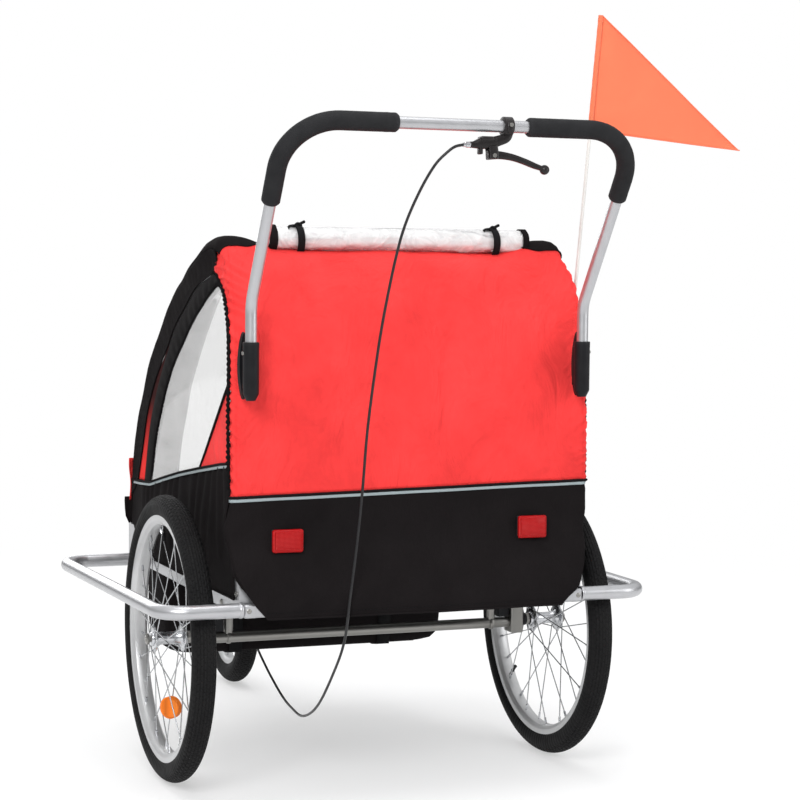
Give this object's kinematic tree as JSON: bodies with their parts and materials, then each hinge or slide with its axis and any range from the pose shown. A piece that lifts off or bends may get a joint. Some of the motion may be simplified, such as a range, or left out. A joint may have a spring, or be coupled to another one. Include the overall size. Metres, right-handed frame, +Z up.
{
  "type": "child bicycle trailer",
  "caption": "Enclosed two-seat child trailer in pushing set-up: tube frame, fabric cabin with side windows, spoked wheels, swivel front wheel, push handle with brake lever, flag.",
  "frame": {"origin": "on the ground, where the front wheel stands; the rear wheels' axle line is 0.81 m behind it (+Y)", "axes": "+Z up, -Y towards the direction of travel, +X to the trailer's left side, along the rear axle"},
  "size_m": [1.0945, 1.4245, 1.322],
  "materials": {
    "silver_frame": "satin metallic silver",
    "aluminium": "polished",
    "zinc_steel": "zinc plated",
    "tyre": "ribbed matte",
    "black_plastic": "moulded",
    "black_foam": "closed-cell foam",
    "red_fabric": "coated polyester weave",
    "black_fabric": "coated polyester weave",
    "clear_film": "flexible clear film",
    "netting": "fine netting",
    "red_lens": "prismatic reflector",
    "amber_lens": "prismatic reflector",
    "orange_flag": "thin woven pennant",
    "white_fibre": "glass-fibre rod"
  },
  "bodies": {
    "frame": {"base_frame": "silver_frame", "axle_tube": "zinc_steel", "axle_mount_left": "zinc_steel", "axle_mount_right": "zinc_steel", "rear_corner_bracket_left": "silver_frame", "rear_corner_bracket_right": "silver_frame", "front_corner_bracket_left": "silver_frame", "front_corner_bracket_right": "silver_frame", "side_hoop_left": "silver_frame", "side_hoop_right": "silver_frame", "roof_crossbar_rear": "silver_frame", "roof_crossbar_front": "silver_frame", "wheel_guard_left": "silver_frame", "wheel_guard_right": "silver_frame", "floor_and_footwell": "black_fabric", "seat_cushion": "black_fabric", "seat_back": "black_fabric", "harness_left": "black_fabric", "harness_right": "black_fabric", "cover_rear_lower": "black_fabric", "cover_rear_and_roof": "red_fabric", "front_screen": "netting", "side_cover_left": "black_fabric", "side_cover_right": "black_fabric", "side_window_left": "clear_film", "side_window_right": "clear_film", "rolled_rain_cover": "clear_film", "rain_cover_strap_left": "black_fabric", "rain_cover_strap_right": "black_fabric", "rear_reflector_left": "red_lens", "rear_reflector_right": "red_lens", "handle_socket_left": "black_plastic", "handle_socket_right": "black_plastic", "brake_cable": "black_plastic", "left_wheel_axle": "zinc_steel", "right_wheel_axle": "zinc_steel", "front_wheel_arm": "silver_frame", "tow_arm_receiver": "black_plastic"},
    "handle": {"handle_tube": "silver_frame", "grip_left": "black_foam", "grip_right": "black_foam", "brake_clamp": "black_plastic", "cable_adjuster": "aluminium"},
    "lever": {"brake_lever": "black_plastic"},
    "left_wheel": {"left_wheel_tyre": "tyre", "left_wheel_rim": "aluminium", "left_wheel_hub_and_spokes": "aluminium", "wheel_reflector": "amber_lens"},
    "right_wheel": {"right_wheel_tyre": "tyre", "right_wheel_rim": "aluminium", "right_wheel_hub_and_spokes": "aluminium"},
    "fork": {"front_fork": "silver_frame", "front_wheel_axle": "zinc_steel", "brake_cable_front": "black_plastic"},
    "front_wheel": {"front_wheel_tyre": "tyre", "front_wheel_rim": "aluminium", "front_wheel_hub_and_spokes": "aluminium"},
    "brake_arm": {"front_brake_arm": "zinc_steel"},
    "flag": {"flag_pole": "white_fibre", "flag": "orange_flag"}
  },
  "joints": [
    {"name": "left_wheel_spin", "type": "hinge", "parent": "frame", "child": "left_wheel", "pos_m": [0.3586, 0.81, 0.2475], "axis": [1, 0, 0], "continuous": true},
    {"name": "right_wheel_spin", "type": "hinge", "parent": "frame", "child": "right_wheel", "pos_m": [-0.3586, 0.81, 0.2475], "axis": [1, 0, 0], "continuous": true},
    {"name": "front_swivel", "type": "hinge", "parent": "frame", "child": "fork", "pos_m": [0, -0.05, 0.35], "axis": [0, 0, 1], "continuous": true},
    {"name": "front_wheel_spin", "type": "hinge", "parent": "fork", "child": "front_wheel", "pos_m": [0, 0, 0.1485], "axis": [1, 0, 0], "continuous": true},
    {"name": "brake_lever_pull", "type": "hinge", "parent": "handle", "child": "lever", "pos_m": [-0.042, 1.2595, 1.061], "axis": [0, 1, 0], "range_deg": [0, 20]},
    {"name": "brake_arm_pull", "type": "hinge", "parent": "fork", "child": "brake_arm", "pos_m": [0.048, 0, 0.1485], "axis": [1, 0, 0], "range_deg": [0, 12]},
    {"name": "handle_lift_out", "type": "slide", "parent": "frame", "child": "handle", "axis": [0, 0, 1], "range_m": [0, 0.1]},
    {"name": "flag_pole_lift_out", "type": "slide", "parent": "frame", "child": "flag", "axis": [-0.0232, 0.128, 0.9915], "range_m": [0, 0.1]}
  ],
  "couplings": [
    {"joint": "brake_arm_pull", "follows": "brake_lever_pull", "ratio": 0.6}
  ]
}
